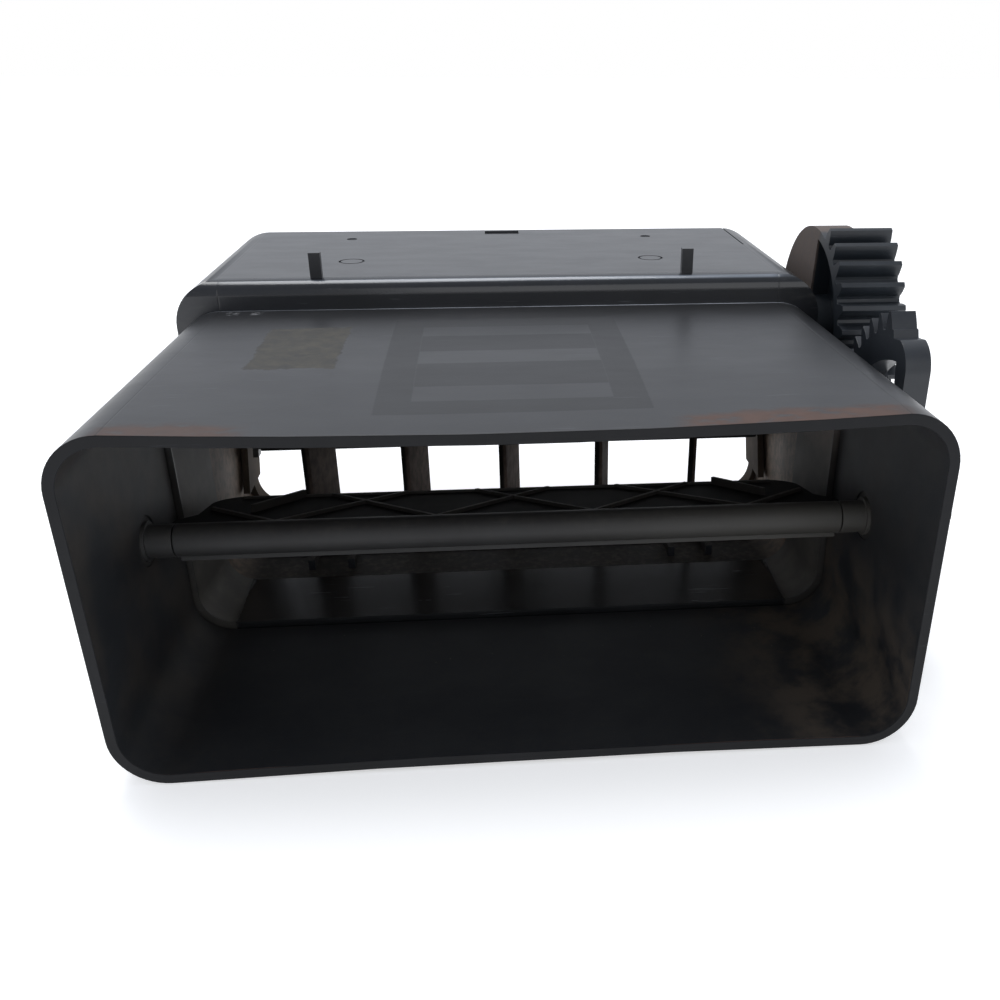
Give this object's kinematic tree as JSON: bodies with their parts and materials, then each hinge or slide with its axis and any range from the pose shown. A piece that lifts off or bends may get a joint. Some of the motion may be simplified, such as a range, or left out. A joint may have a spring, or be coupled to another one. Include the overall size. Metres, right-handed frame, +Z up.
{
  "type": "dashboard air outlet",
  "caption": "Rectangular air outlet with a geared twin-leaf damper, upright vanes, tilting cross louvres and a sliding direction knob, plugged onto a tapered inlet duct.",
  "frame": {"origin": "middle of the inlet mouth's lower edge, on the flat underside", "axes": "+Y along the air flow from inlet to outlet, +Z up, +X to the right looking along the air, towards the gear side"},
  "size_m": [0.172, 0.147, 0.0837],
  "materials": {
    "duct_abs": "moulded satin, dusty inside",
    "housing_abs": "moulded satin",
    "frame_abs": "fine grain",
    "strip_pp": "moulded, dusty",
    "bush_acetal": "moulded acetal",
    "spring_steel": "oiled spring steel",
    "shaft_steel": "drawn rod",
    "gear_pom": "moulded, dusty on the front quadrant",
    "leaf_pp": "moulded satin",
    "seal_tpe": "soft lip",
    "link_pom": "moulded acetal",
    "knob_abs": "fine grain with grip ribs",
    "pad_rubber": "soft pad",
    "vane_pp": "moulded, brown dust on the inlet edge",
    "louvre_abs": "fine grain"
  },
  "bodies": {
    "duct": {"inlet_duct": "duct_abs", "outlet_housing": "housing_abs", "front_frame": "frame_abs", "lower_bearing_strip": "strip_pp", "upper_bearing_strip": "strip_pp", "damper_bush_left": "bush_acetal", "damper_bush_right": "bush_acetal", "idler_clip": "spring_steel", "drive_gear_clip": "spring_steel"},
    "drive_wheel": {"drive_gear": "gear_pom"},
    "idler": {"idler_gear": "gear_pom"},
    "lower_leaf": {"damper_lower_leaf": "leaf_pp", "lower_leaf_seal": "seal_tpe", "lower_leaf_sector_gear": "gear_pom"},
    "upper_leaf": {"damper_upper_leaf": "leaf_pp", "upper_leaf_seal": "seal_tpe", "damper_shaft": "shaft_steel", "damper_shaft_clips": "spring_steel", "upper_leaf_sector_gear": "gear_pom"},
    "vane_1": {"upright_vane_1": "vane_pp"},
    "vane_2": {"upright_vane_2": "vane_pp"},
    "vane_3": {"upright_vane_3": "vane_pp"},
    "vane_4": {"upright_vane_4": "vane_pp"},
    "vane_5": {"upright_vane_5": "vane_pp"},
    "vane_link": {"upright_vane_link": "link_pom"},
    "louvre_1": {"cross_louvre_1": "louvre_abs"},
    "louvre_2": {"cross_louvre_2": "louvre_abs"},
    "louvre_3": {"cross_louvre_3": "louvre_abs"},
    "louvre_link": {"cross_louvre_link": "link_pom"},
    "knob": {"direction_knob": "knob_abs", "knob_friction_pad": "pad_rubber"}
  },
  "joints": [
    {"name": "drive_gear_turn", "type": "hinge", "parent": "duct", "child": "drive_wheel", "pos_m": [0.083, 0.09492, 0.05797], "axis": [1, 0, 0], "range_deg": [0, 74.2]},
    {"name": "idler_turn", "type": "hinge", "parent": "duct", "child": "idler", "pos_m": [0.086, 0.07661, 0.02323], "axis": [1, 0, 0], "range_deg": [-154, 1]},
    {"name": "lower_leaf_turn", "type": "hinge", "parent": "duct", "child": "lower_leaf", "pos_m": [0, 0.033, 0.0338], "axis": [1, 0, 0], "range_deg": [-49.5, 0.5]},
    {"name": "upper_leaf_turn", "type": "hinge", "parent": "duct", "child": "upper_leaf", "pos_m": [0, 0.033, 0.0338], "axis": [1, 0, 0], "range_deg": [-0.5, 61.7]},
    {"name": "vane_1_yaw", "type": "hinge", "parent": "duct", "child": "vane_1", "pos_m": [-0.0488, 0.097, 0.037], "axis": [0, 0, 1], "range_deg": [-18.4, 41.6]},
    {"name": "vane_2_yaw", "type": "hinge", "parent": "duct", "child": "vane_2", "pos_m": [-0.0244, 0.097, 0.037], "axis": [0, 0, 1], "range_deg": [-18.4, 41.6]},
    {"name": "vane_3_yaw", "type": "hinge", "parent": "duct", "child": "vane_3", "pos_m": [0, 0.097, 0.037], "axis": [0, 0, 1], "range_deg": [-18.4, 41.6]},
    {"name": "vane_4_yaw", "type": "hinge", "parent": "duct", "child": "vane_4", "pos_m": [0.0244, 0.097, 0.037], "axis": [0, 0, 1], "range_deg": [-18.4, 41.6]},
    {"name": "vane_5_yaw", "type": "hinge", "parent": "duct", "child": "vane_5", "pos_m": [0.0488, 0.097, 0.037], "axis": [0, 0, 1], "range_deg": [-18.4, 41.6]},
    {"name": "vane_link_turn", "type": "hinge", "parent": "vane_3", "child": "vane_link", "pos_m": [0.00161, 0.10484, 0.0653], "axis": [0, 0, 1], "range_deg": [-41.6, 18.4]},
    {"name": "louvre_1_pitch", "type": "hinge", "parent": "duct", "child": "louvre_1", "pos_m": [0, 0.11781, 0.024], "axis": [1, 0, 0], "range_deg": [-25, 25]},
    {"name": "louvre_2_pitch", "type": "hinge", "parent": "duct", "child": "louvre_2", "pos_m": [0, 0.12369, 0.039], "axis": [1, 0, 0], "range_deg": [-25, 25]},
    {"name": "louvre_3_pitch", "type": "hinge", "parent": "duct", "child": "louvre_3", "pos_m": [0, 0.12957, 0.054], "axis": [1, 0, 0], "range_deg": [-25, 25]},
    {"name": "louvre_link_turn", "type": "hinge", "parent": "louvre_2", "child": "louvre_link", "pos_m": [-0.0678, 0.11769, 0.039], "axis": [1, 0, 0], "range_deg": [-25, 25]},
    {"name": "knob_slide", "type": "slide", "parent": "louvre_2", "child": "knob", "axis": [1, 0, 0], "range_m": [-0.0058, 0.0026]}
  ],
  "couplings": [
    {"joint": "idler_turn", "follows": "drive_gear_turn", "ratio": -2.0625},
    {"joint": "lower_leaf_turn", "follows": "drive_gear_turn", "ratio": -0.66},
    {"joint": "upper_leaf_turn", "follows": "drive_gear_turn", "ratio": 0.825},
    {"joint": "vane_1_yaw", "follows": "vane_3_yaw", "ratio": 1},
    {"joint": "vane_2_yaw", "follows": "vane_3_yaw", "ratio": 1},
    {"joint": "vane_4_yaw", "follows": "vane_3_yaw", "ratio": 1},
    {"joint": "vane_5_yaw", "follows": "vane_3_yaw", "ratio": 1},
    {"joint": "vane_link_turn", "follows": "vane_3_yaw", "ratio": -1},
    {"joint": "louvre_1_pitch", "follows": "louvre_2_pitch", "ratio": 1},
    {"joint": "louvre_3_pitch", "follows": "louvre_2_pitch", "ratio": 1},
    {"joint": "louvre_link_turn", "follows": "louvre_2_pitch", "ratio": -1},
    {"joint": "knob_slide", "follows": "vane_3_yaw", "m_per_rad": -0.00785}
  ]
}
